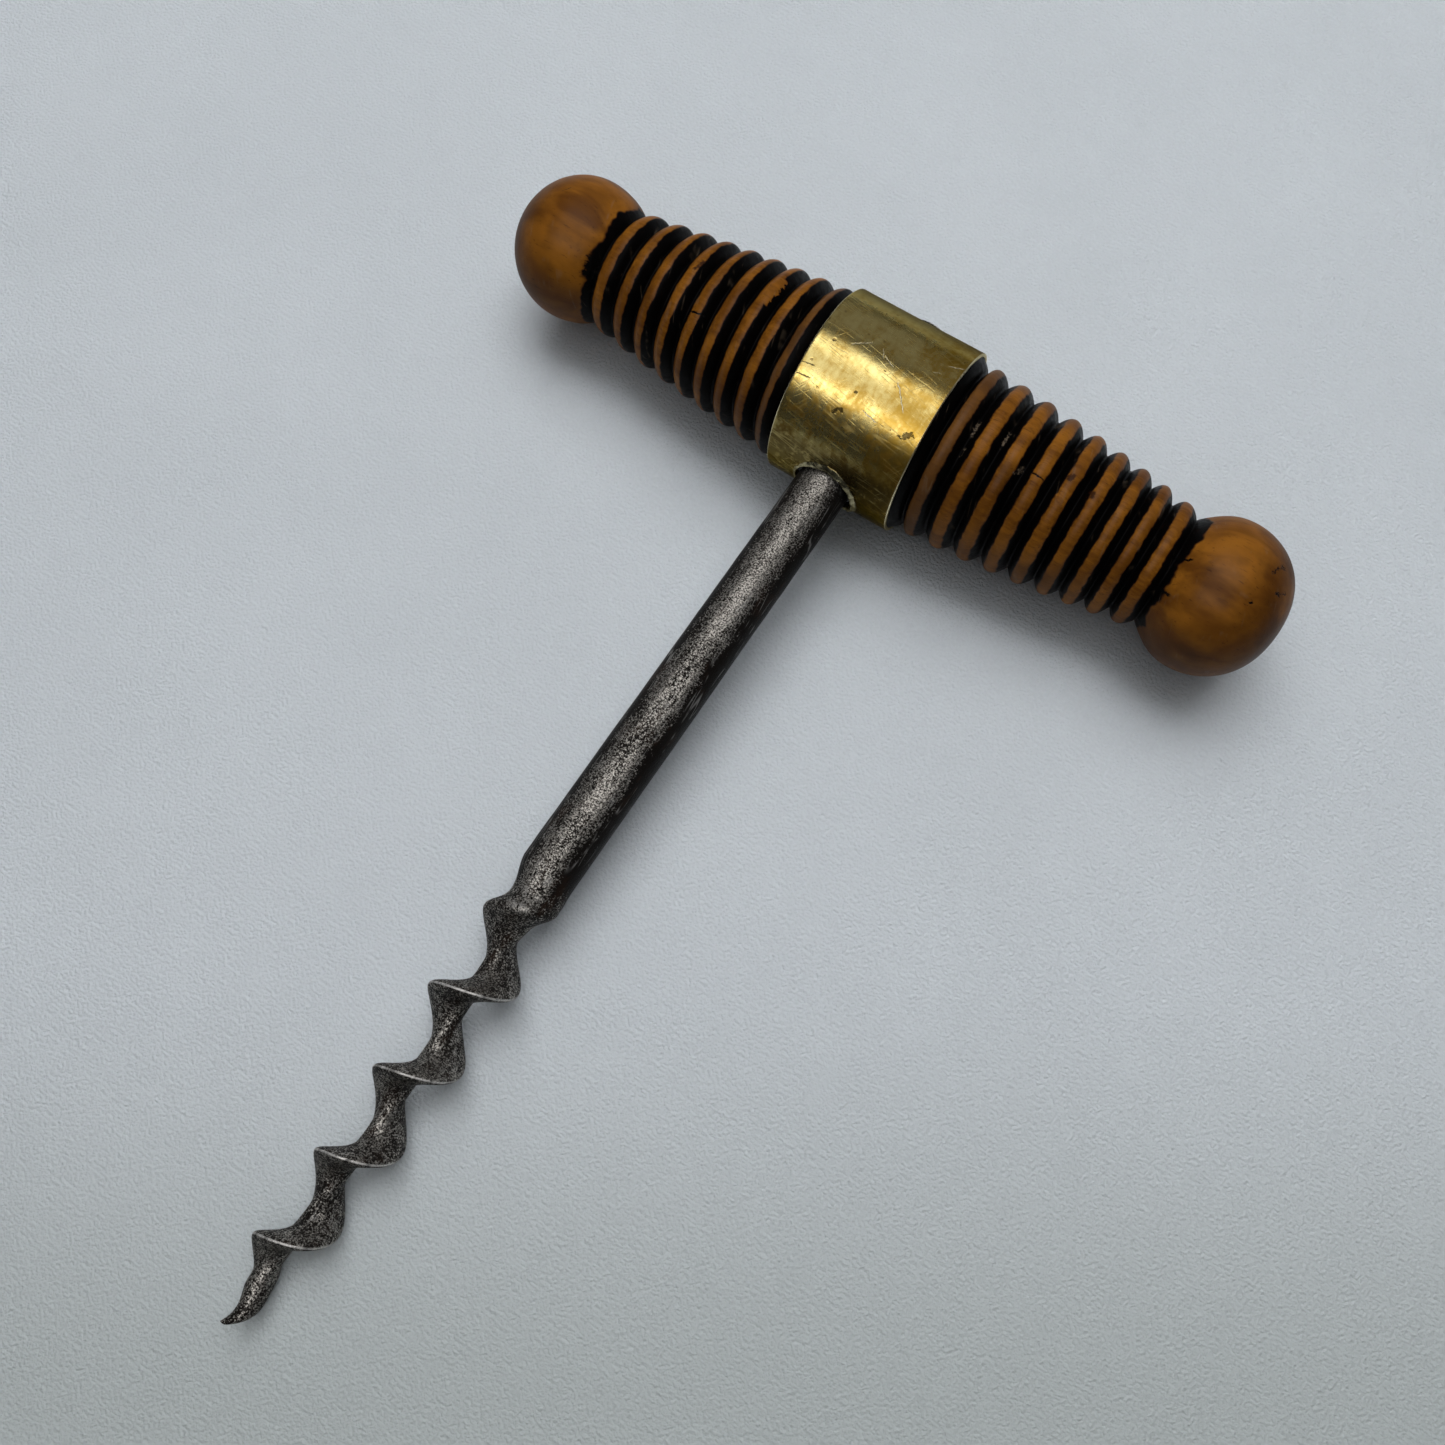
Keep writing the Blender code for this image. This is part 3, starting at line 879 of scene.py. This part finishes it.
@dataclass
class TurnedHandle:
    """The turned handle: a plain seat, a row of ridges on each side and a ball at each end.

    Drifts bend the row of ridges along X; their starts and their span are in ridge pitches.
    """

    axis: Vector
    rings: int = 701
    segments: int = 112
    seat_radius: float = 10.26 * MM
    seat_half_length: float = 6.8 * MM
    first_ridge: float = 9.47 * MM
    ridge_pitch: float = 2.97 * MM
    ridge_count: float = 9.0
    groove_depth: float = 1.25 * MM
    groove_sharpness: float = 2.0
    crest_inner: float = 9.92 * MM
    crest_outer: float = 7.14 * MM
    crest_swell: float = 0.28 * MM
    ball_centre: float = 40.0 * MM
    ball_radius: float = 8.3 * MM
    ball_half_length: float = 7.7 * MM
    ball_end: float = math.radians(173.0)
    right_ball: float = 1.032
    left_ball: float = 0.98
    right_bluntness: float = 0.87
    right_drift: float = 0.55 * MM
    right_drift_start: float = 1.2
    left_drift: float = -0.27 * MM
    left_drift_start: float = 2.8
    drift_span: float = 6.4
    wobble: float = 0.03 * MM
    uneven: float = 0.22
    seed: float = 4.0
    finish: TurnedWoodFinish = field(default_factory=TurnedWoodFinish)

    def sizes(self) -> dict[str, float]:
        """Return the tree's number inputs by name."""
        sizes = {name.replace("_", " ").title(): size for name, size in vars(self).items()
                 if isinstance(size, float)}
        return {"Axis Y": self.axis.y, "Axis Z": self.axis.z, **sizes}

    def turning_tree(self) -> bpy.types.NodeTree:
        """Build the tree that turns the outline about X.

        Returns:
            The geometry node tree.
        """
        tree = bpy.data.node_groups.new("turned_outline", "GeometryNodeTree")
        tree.is_modifier = True
        kinds = {"Rings": "Int", "Segments": "Int", **dict.fromkeys(self.sizes(), "Float"),
                 "Finish": "Material"}
        for name, kind in kinds.items():
            tree.interface.new_socket(name=name, in_out="INPUT", socket_type="NodeSocket" + kind)
        tree.interface.new_socket(
            name="Geometry", in_out="OUTPUT", socket_type="NodeSocketGeometry")
        graph = Graph(tree)
        given = graph.given()
        grid = graph.out("GeometryNodeMeshGrid", {
            "Size X": 2.0, "Size Y": 1.0, "Vertices X": given["Rings"],
            "Vertices Y": given["Segments"] + 1.0}, "Mesh")
        along, across, _ = graph.parts(graph.out("GeometryNodeInputPosition"))
        side = graph.math("SIGN", along)
        on_right = graph.math("GREATER_THAN", side, 0.0)

        pitch, first = given["Ridge Pitch"], given["First Ridge"]
        ball_radius, ball_half, ball_end = (
            given["Ball " + name] for name in ("Radius", "Half Length", "End"))
        last = given["Ridge Count"] - 0.5
        neck = pitch * last + first
        start = graph.math("ARCCOSINE", (given["Ball Centre"] - neck) / ball_half)
        travel = abs(along) * (neck + (ball_end - start) * ball_radius)

        swing = start + graph.strongest(travel - neck, 0.0) / ball_radius
        swing = graph.math("MINIMUM", swing, ball_end)
        ball_x = given["Ball Centre"] - graph.math("COSINE", swing) * ball_half
        outer = graph.math("GREATER_THAN", swing, math.pi / 2.0)
        blunt = graph.choose(on_right * outer, given["Right Bluntness"], 1.0)
        fuller = graph.choose(on_right, given["Right Ball"], given["Left Ball"])
        fullness = graph.between(graph.span(swing, 0.9, 1.4), 1.0, fuller)
        ball_r = graph.math("SINE", swing) ** blunt * ball_radius * fullness

        ridge = (travel - first) / pitch
        top = given["Ridge Count"] - 1.0
        index = graph.clamp(graph.math("ROUND", ridge), 0.0, top)
        off_crest = abs((ridge - index) * 2.0)
        share = graph.clamp(ridge / top, 0.0, 1.0)
        crest = graph.between(share, given["Crest Inner"], given["Crest Outer"])
        crest = share * (1.0 - share) * 4.0 * given["Crest Swell"] + crest
        lot = graph.out("ShaderNodeTexWhiteNoise", {
            "Vector": graph.vector(graph.math("FLOOR", ridge), side, given["Seed"])}, "Value",
            noise_dimensions="3D")
        depth = given["Groove Depth"] * ((lot - 0.5) * given["Uneven"] + 1.0)
        ridge_r = crest - depth * off_crest ** given["Groove Sharpness"]

        valley = first - pitch * 0.5
        valley_r = given["Crest Inner"] - given["Groove Depth"]
        rise = graph.clamp((valley - travel) / (valley - given["Seat Half Length"]), 0.0, 1.0)
        seat_r = graph.between(rise ** 0.5, valley_r, given["Seat Radius"])
        radius = graph.choose(graph.math("LESS_THAN", travel, valley), seat_r, ridge_r)
        on_ball = graph.math("GREATER_THAN", travel, neck)
        radius = graph.choose(on_ball, ball_r, radius)
        plain_x = graph.choose(on_ball, ball_x, travel)

        wave = ridge - graph.choose(on_right, given["Right Drift Start"], given["Left Drift Start"])
        wave = graph.math("SINE", wave * math.pi / given["Drift Span"])
        drift = wave * graph.choose(on_right, given["Right Drift"], given["Left Drift"])
        x = plain_x + drift * (graph.span(ridge, -0.5, 0.0) * graph.span(ridge, last, last - 0.5))
        angle = across * math.tau
        sine, cosine = graph.math("SINE", angle), graph.math("COSINE", angle)
        spot = graph.vector(side * x, sine * radius, cosine * radius)
        tremor = graph.noise(spot, 4.0 * MM, 3.0, 0.6)
        radius = (tremor - 0.6) * (given["Wobble"] * 2.0) + radius
        radius = graph.choose(graph.math("GREATER_THAN", abs(along), 0.9999), 0.0, radius)
        where = graph.vector(
            side * x, sine * radius + given["Axis Y"], cosine * radius + given["Axis Z"])
        shape = graph.out("GeometryNodeStoreNamedAttribute", {
            "Geometry": grid, "Name": "ridge_place", "Value": (plain_x - first) / pitch},
            data_type="FLOAT", domain="POINT")
        for kind, inputs in (
                ("SetPosition", {"Position": where}), ("MergeByDistance", {"Distance": 0.002 * MM}),
                ("SetShadeSmooth", {"Shade Smooth": True}), ("RealizeInstances", {}),
                ("SetMaterial", {"Material": given["Finish"]})):
            shape = graph.out("GeometryNode" + kind, {"Geometry": shape, **inputs})
        graph.add("NodeGroupOutput", {"Geometry": shape})
        return tree

    def build(self, bores: tuple[bpy.types.Object, ...]) -> None:
        """Turn the handle and drill it with closed rods."""
        item = link_mesh("turned_handle", bpy.data.meshes.new("turned_handle"))
        tree = self.turning_tree()
        modifier = item.modifiers.new("turning", "NODES")
        modifier.node_group = tree
        values: dict[str, object] = {
            "Rings": self.rings, "Segments": self.segments, **self.sizes(), "Finish": self.dress()}
        for socket in tree.interface.items_tree:
            if socket.in_out == "INPUT":
                modifier[socket.identifier] = values[socket.name]
        for bore in bores:
            carve(item, bore)
        settle(item, bores)
        publish(item, "handle", Slot.WOOD)

    def dress(self) -> bpy.types.Material:
        """Return the handle's material."""
        return self.finish.material(self.axis, self.crest_inner)


# ------------------------------------------------------------------ screw


Ring = tuple[list[Vector], list[float]]


@dataclass
class ForgedScrew:
    """Tang with a peened head, round shank, worm and curled point, forged from one rod.

    Stations are measured along the screw's axis from the handle's axis, towards the point. A ring
    is the points round the screw at a station, and how much each belongs to the worm's crest.
    """

    axis: Vector
    offset: float = -0.77 * MM
    lean: float = math.radians(1.98)
    droop: float = math.radians(4.05)
    segments: int = 96
    crowding: float = 1.35  # above 1 the points of a ring crowd towards the crest
    tang_radius: float = 1.9 * MM
    head_radius: float = 2.4 * MM
    head_rise: float = 0.62 * MM
    head_edge: float = 0.06 * MM
    head_seat: float = 10.92 * MM
    head_shares: tuple[float, ...] = (0.08, 0.3, 0.5, 0.68, 0.82, 0.92, 0.98, 1.0)
    shoulder: float = 6.5 * MM
    radius_top: float = 3.06 * MM
    radius_end: float = 3.20 * MM
    shank_end: float = 61.3 * MM
    pitch: float = 9.72 * MM
    crest_front: float = 75.47 * MM
    crest: float = 4.2 * MM
    taper: float = 0.023
    back: float = 0.75 * MM
    flank: float = math.radians(62.0)
    flank_power: float = 1.95
    phase: float = math.radians(8.0)
    phase_swing: float = math.radians(15.0)
    groove_run_in: float = 9.4 * MM
    groove_onset: float = 1.1
    flank_start: float = 1.3
    crest_start: float = 64.2 * MM
    crest_run_in: float = 11.0 * MM
    rise_power: float = 0.4
    bow: float = 0.63 * MM
    bow_length: float = 43.9 * MM
    veer: float = 0.34 * MM
    tail_start: float = 108.0 * MM
    tail_plain: float = 110.9 * MM
    tail_radius: float = 1.36 * MM
    tail_offset: float = 0.55 * MM
    point: float = 114.5 * MM
    point_radius: float = 0.34 * MM
    point_offset: float = 1.05 * MM
    shank_step: float = 0.5 * MM
    worm_step: float = 0.15 * MM
    tail_step_share: float = 0.6
    lumps: float = 0.03 * MM
    finish: ForgedSteelFinish = field(default_factory=ForgedSteelFinish)

    def matrix(self) -> Matrix:
        """Return the place of the screw's own frame, whose axis runs along its -Y."""
        middle = Matrix.Translation(self.axis + Vector((self.offset, 0.0, 0.0)))
        return middle @ Euler((self.droop, 0.0, -self.lean)).to_matrix().to_4x4()

    def crest_angle(self, station: float) -> float:
        """Return the direction of the worm's crest, from straight up towards +X."""
        plain = -math.tau * (station - self.crest_front) / self.pitch
        return plain + self.phase + self.phase_swing * math.sin(plain)

    def shank_radius(self, station: float) -> float:
        """Return the radius of the round shank."""
        part = (station - self.shoulder) / (self.shank_end - self.shoulder)
        return self.radius_top + (self.radius_end - self.radius_top) * min(part, 1.0)

    def worn(self, station: float) -> float:
        """Return 0 where the crest is whole and 1 where it is ground away."""
        return smooth_step((station - self.tail_start) / (self.tail_plain - self.tail_start))

    def groove_depth(self, station: float) -> float:
        """Return 0 on the round shank and 1 where the groove is fully cut."""
        run = min(max((station - self.shank_end) / self.groove_run_in, 0.0), 1.0)
        return 1.0 - (1.0 - run) ** self.groove_onset

    def flank_share(self, station: float, turn: float) -> float:
        """Return 1 on the crest and less down its flanks, which are wide at the groove's start."""
        flank = self.flank * (1.0 + self.flank_start * (1.0 - self.groove_depth(station)) ** 2)
        return math.exp(-((abs(turn) / flank) ** self.flank_power))

    def radius(self, station: float, turn: float) -> float:
        """Return the section's radius.

        Args:
            station: Place along the axis.
            turn: Angle away from the crest.

        Returns:
            Distance from the section's middle.
        """
        plain = self.shank_radius(station)
        full = self.crest - self.taper * (station - self.crest_start - self.crest_run_in)
        rise = smooth_step((station - self.crest_start) / self.crest_run_in) ** self.rise_power
        crest = plain + (full - plain) * rise
        back = plain + (self.back - plain) * self.groove_depth(station)
        worn = self.worn(station)
        crest += (self.tail_radius - crest) * worn
        back += (self.tail_radius - back) * worn
        return back + (crest - back) * self.flank_share(station, turn)

    def turns(self) -> list[float]:
        """Return the angles of a ring's points, away from the crest."""
        shares = [2.0 * i / self.segments - 1.0 for i in range(self.segments)]
        return [math.copysign(math.pi * abs(share) ** self.crowding, share) for share in shares]

    def ring(self, station: float) -> Ring:
        """Return a ring of the shank or the worm."""
        angle = self.crest_angle(max(station, self.shank_end))
        tail = max((station - self.tail_plain) / (self.point - self.tail_plain), 0.0)
        thin = 1.0 - (1.0 - self.point_radius / self.tail_radius) * tail ** 1.5
        curl = self.tail_offset * self.worn(station) + (self.point_offset - self.tail_offset) * tail
        part = max((station - self.shank_end) / self.bow_length, 0.0)
        bend = self.bow * 4.0 * part * (1.0 - part) + self.veer * part
        middle = Vector((bend + curl * math.sin(angle), -station, curl * math.cos(angle)))
        shown = smooth_step((station - self.crest_start) / self.crest_run_in * 1.6)
        shown *= 1.0 - self.worn(station)
        points, crests = [], []
        for turn in self.turns():
            way = Vector((math.sin(angle + turn), 0.0, math.cos(angle + turn)))
            reach = self.radius(station, turn) * thin
            lump = noise.noise((way * 3.0 + Vector((0.0, station / (3.0 * MM), 0.0))))
            reach += self.lumps * (lump - 0.3) * min(1.0, reach / (2.0 * MM))
            points.append(middle + reach * way)
            crests.append(self.flank_share(station, turn) * shown)
        return points, crests

    def plain_ring(self, station: float, radius: float) -> Ring:
        """Return a circle in step with the worm's first ring."""
        turns = [self.crest_angle(self.shank_end) + turn for turn in self.turns()]
        return circle(turns, radius, station), [0.0] * self.segments

    def head_rings(self) -> list[Ring]:
        """Return the rings of the peened head and the tang, from the far end."""
        edge = -self.head_seat - self.head_edge
        dome = self.head_rise - self.head_edge
        circles = [(edge - dome * (1.0 - share ** 2.6), self.head_radius * share)
                   for share in self.head_shares]
        circles += [
            (-self.head_seat, self.head_radius * 0.985), (-self.head_seat, self.tang_radius),
            (self.shoulder, self.tang_radius), (self.shoulder, self.radius_top)]
        return [self.plain_ring(station, radius) for station, radius in circles]

    def build(self) -> None:
        """Forge the screw."""
        rings = self.head_rings()
        station = self.shoulder + self.shank_step
        while station < self.shank_end:
            rings.append(self.ring(station))
            station += self.shank_step
        station = self.shank_end
        while station < self.point:
            rings.append(self.ring(station))
            station += self.worm_step * (1.0 if station < self.tail_start else self.tail_step_share)
        rings.append(self.ring(self.point))
        item = join_rings("forged_screw", [points for points, _ in rings])
        local = item.data.attributes.new("screw_place", "FLOAT_VECTOR", "POINT")
        local.data.foreach_set(
            "vector", [part for points, _ in rings for point in points for part in point])
        crest = item.data.attributes.new("fin", "FLOAT", "POINT")
        crest.data.foreach_set("value", [share for _, shares in rings for share in shares])
        item.data.transform(self.matrix())
        item.data.set_sharp_from_angle(angle=SHARP_ANGLE)
        item.data.materials.append(self.dress())
        publish(item, "screw", Slot.STEEL)

    def dress(self) -> bpy.types.Material:
        """Return the screw's material."""
        return self.finish.material()

    def rod(self, name: str, radius: float, start: float, end: float,
            shift: float = 0.0) -> bpy.types.Object:
        """Return a closed rod on the screw's axis between two stations, to drill with.

        Args:
            name: Name of the rod.
            radius: Its radius.
            start: Its first station.
            end: Its last station.
            shift: How far it is moved along the handle.

        Returns:
            The rod.
        """
        angles = [math.tau * i / self.segments for i in range(self.segments)]
        rings = [circle(angles, radius, station, shift) for station in (start, end)]
        item = join_rings(name, rings)
        item.data.transform(self.matrix())
        return item


# ------------------------------------------------------------------ sleeve


@dataclass
class BrassSleeve:
    """The brass tube on the seat, punched from outside for the shank, with a torn rim."""

    axis: Vector
    screw: ForgedScrew
    start: float
    end: float
    radius: float = 10.69 * MM
    wall: float = 0.38 * MM
    edge_round: float = 0.12 * MM
    edge_waver: float = 0.05 * MM
    segments: int = 240
    steps: int = 60
    dents: float = 0.05 * MM
    hole_radius: float = 3.56 * MM
    hole_shift: float = 0.2 * MM
    eye_clearance: float = 0.25 * MM
    rim_segments: int = 160
    rim_width: float = 0.60 * MM
    rim_height: float = 0.28 * MM
    rim_ragged: float = 0.16 * MM
    finish: SleeveBrassFinish = field(default_factory=SleeveBrassFinish)

    def loop(self) -> list[tuple[float, float, float]]:
        """Return the wall's section as (x, radius, how much it is the outside)."""
        inner, corner = self.radius - self.wall, self.edge_round * 0.3
        points = [(self.start + corner, self.radius - corner, 1.0)]
        length = self.end - self.start - 2 * self.edge_round
        for step in range(self.steps + 1):
            x = self.start + self.edge_round + length * step / self.steps
            points.append((x, self.radius, 1.0))
        points.append((self.end - corner, self.radius - corner, 1.0))
        points += [(self.end, self.radius - self.edge_round, 0.7), (self.end, inner, 0.0)]
        points += [(self.start, inner, 0.0), (self.start, self.radius - self.edge_round, 0.7)]
        return points

    def tube(self) -> bpy.types.Object:
        """Return the plain tube with its slight dents."""
        rings = []
        for x, radius, outside in self.loop():
            near_end = 1.0 if min(x - self.start, self.end - x) < 2.0 * self.edge_round else 0.0
            ring = []
            for i in range(self.segments):
                angle = math.tau * (i + 0.5) / self.segments
                way = Vector((0.0, math.sin(angle), math.cos(angle)))
                spot = Vector((x / (5.0 * MM), way.y * 2.2, way.z * 2.2))
                dent = 0.5 * noise.noise(spot) + 0.25 * noise.noise(spot * 2.7) - 0.3
                edge = self.edge_waver * noise.noise(Vector((way.y * 3.0, way.z * 3.0, x * 40.0)))
                shift = Vector((x - self.axis.x + edge * near_end, 0.0, 0.0))
                ring.append(self.axis + way * (radius + self.dents * dent * outside) + shift)
            rings.append(ring)
        return join_rings("brass_sleeve", rings, looped=True)

    def rim(self) -> bpy.types.Object:
        """Return the torn rim round the shank's hole, which follows the tube's curve."""
        rings: list[list[Vector]] = [[] for _ in range(8)]
        for i in range(self.rim_segments):
            angle = math.tau * i / self.rim_segments
            way = Vector((math.sin(angle), 0.0, math.cos(angle)))
            torn = noise.noise(way * 2.6) + 0.6 * noise.noise(way * 7.0)
            flare = noise.noise(way * 2.1 + Vector((5.0, 0.0, 0.0)))
            flare += 0.5 * noise.noise(way * 6.0 + Vector((9.0, 0.0, 0.0)))
            inner = self.hole_radius + 0.04 * MM * torn
            outer = inner + self.rim_width + self.rim_ragged * flare
            top = self.rim_height + self.rim_ragged * torn
            section = (
                (inner, -0.2 * MM), (inner, top - 0.1 * MM), (inner + 0.08 * MM, top),
                (inner + 0.2 * MM, top - 0.01 * MM), (inner + 0.32 * MM, top * 0.7),
                (outer - 0.1 * MM, 0.08 * MM), (outer, -0.02 * MM), (outer, -0.2 * MM))
            for ring, (reach, height) in zip(rings, section):
                across = reach * math.cos(angle)
                surface = math.sqrt(self.radius ** 2 - across ** 2)
                ring.append(Vector((self.hole_shift + reach * way.x, -(surface + height), across)))
        item = join_rings("torn_rim", rings, looped=True)
        item.data.transform(self.screw.matrix())
        return item

    def build(self) -> None:
        """Roll, punch and finish the sleeve."""
        item = self.tube()
        item.data.materials.append(self.dress())
        rim = self.rim()
        near, far = 4.0 * MM, 20.0 * MM
        eye_radius = self.screw.tang_radius + self.eye_clearance
        hole = self.screw.rod("shank_opening", self.hole_radius, near, far, self.hole_shift)
        eye = self.screw.rod("tang_opening", eye_radius, -far, -near)
        carve(item, hole)
        carve(item, eye)
        carve(item, rim, "UNION")
        settle(item, (rim, hole, eye))
        item.data.set_sharp_from_angle(angle=SHARP_ANGLE)
        publish(item, "sleeve", Slot.BRASS)

    def dress(self) -> bpy.types.Material:
        """Return the sleeve's material."""
        return self.finish.material(self.axis, self.radius, (self.start, self.end))


# ------------------------------------------------------------------ studio


@dataclass(frozen=True)
class Softbox:
    """One soft area light, aimed at the middle of the object.

    Attributes:
        name: Name of the light.
        direction: Where it stands, as seen from the object.
        distance: How far away it stands.
        size: Its width and height.
        power: Its power in watts.
        colour: Its colour.
        mirrored: Whether metal shows it.
        matte: Whether it lights matte surfaces.
    """

    name: str
    direction: Triple
    distance: float
    size: tuple[float, float]
    power: float
    colour: Triple = (1.0, 1.0, 1.0)
    mirrored: bool = True
    matte: bool = True


@dataclass
class Studio:
    """Pale floor, soft lights and the camera."""

    axis: Vector
    camera_place: Triple = (28.35 * MM, -69.37 * MM, 132.07 * MM)
    camera_right: Triple = (0.8395, 0.5427, -0.0281)
    camera_down: Triple = (0.5146, -0.8105, -0.2797)
    lens_mm: float = 33.28
    sensor_mm: float = 36.0
    floor_half: float = 0.8
    room: Triple = (0.03, 0.032, 0.035)
    backdrop: Triple = (0.50, 0.55, 0.60)
    finish: FloorFinish = field(default_factory=FloorFinish)
    softboxes: tuple[Softbox, ...] = (
        Softbox("canopy", (-0.05, -0.13, 0.99), 1.2, (1.3, 1.25), 3.6),
        Softbox("canopy_sheen", (-0.05, -0.13, 0.99), 1.21, (1.3, 1.25), 1.7, matte=False),
        Softbox("sky", (-0.12, 0.26, 0.96), 1.2, (0.95, 0.85), 3.0, mirrored=False),
        Softbox("window", (-0.05, 0.20, 0.98), 1.2, (1.2, 0.30), 1.15),
        Softbox("near_window", (-0.10, -0.53, 0.845), 1.2, (1.2, 0.28), 2.5, matte=False),
        Softbox("far_wall", (0.0, 0.85, 0.53), 1.2, (2.4, 1.0), 1.1),
        Softbox("ceiling", (-0.16, 0.36, 0.92), 0.46, (0.50, 0.34), 0.95, (0.96, 0.98, 1.0), False),
    )

    def build(self) -> None:
        """Lay the floor and set up the lights, the room and the camera."""
        self.lay_floor()
        for box in self.softboxes:
            self.hang(box)
        self.light_room()
        self.place_camera()

    def lay_floor(self) -> None:
        """Lay the floor at height 0."""
        half = self.floor_half
        mesh = bpy.data.meshes.new("floor")
        corners = [(-half, -half, 0.0), (half, -half, 0.0), (half, half, 0.0), (-half, half, 0.0)]
        mesh.from_pydata(corners, [], [(0, 1, 2, 3)])
        floor = link_mesh("floor", mesh)
        mesh.materials.append(self.finish.material())

    def hang(self, box: Softbox) -> None:
        """Hang one softbox."""
        light = bpy.data.lights.new(box.name, "AREA")
        light.shape = "RECTANGLE"
        light.size, light.size_y = box.size
        light.energy = box.power
        light.color = box.colour
        item = bpy.data.objects.new(box.name, light)
        bpy.context.scene.collection.objects.link(item)
        away = Vector(box.direction).normalized()
        item.location = self.axis + away * box.distance
        up = away.cross(Vector((1.0, 0.0, 0.0))).normalized()
        across = up.cross(away).normalized()
        item.rotation_euler = Matrix((across, up, away)).transposed().to_euler()
        item.visible_glossy = box.mirrored
        item.visible_diffuse = box.matte
        item.visible_camera = False

    def light_room(self) -> None:
        """Light the room dimly, behind a pale backdrop."""
        world = bpy.data.worlds.new("room")
        bpy.context.scene.world = world
        world.use_nodes = True
        graph = Graph(world.node_tree)
        seen = graph.out("ShaderNodeLightPath", None, "Is Camera Ray")
        colour = graph.blend(seen, (*self.room, 1.0), (*self.backdrop, 1.0))
        graph.feed(world.node_tree.nodes["Background"].inputs["Color"], colour)

    def place_camera(self) -> None:
        """Place the camera."""
        data = bpy.data.cameras.new("camera")
        data.sensor_width = self.sensor_mm
        data.lens = self.lens_mm
        data.clip_start = 1.0 * MM
        camera = bpy.data.objects.new("camera", data)
        bpy.context.scene.collection.objects.link(camera)
        right, up = Vector(self.camera_right), -Vector(self.camera_down)
        camera.location = self.axis + Vector(self.camera_place)
        camera.rotation_euler = Matrix((right, up, right.cross(up))).transposed().to_euler()
        bpy.context.scene.camera = camera


def main() -> None:
    """Build the pieces in order and report each."""
    logging.basicConfig(level=logging.INFO, format="%(name)s: %(message)s")
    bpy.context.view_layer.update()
    low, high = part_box("handle")
    axis = (low + high) / 2.0
    sleeve_low, sleeve_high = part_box("sleeve")
    screw = ForgedScrew(axis)
    gap, beyond = 0.2 * MM, 20.0 * MM
    bores = (
        screw.rod("tang_bore", screw.tang_radius + gap, -beyond, beyond),
        screw.rod("shank_bore", screw.radius_top + gap, screw.shoulder - gap, beyond),
    )
    TurnedHandle(axis).build(bores)
    sleeve_shift = 0.2 * MM
    BrassSleeve(axis, screw, sleeve_low.x + sleeve_shift, sleeve_high.x + sleeve_shift).build()
    screw.build()
    Studio(axis).build()
    bpy.context.scene.view_settings.view_transform = "Standard"


if __name__ == "__main__":
    main()
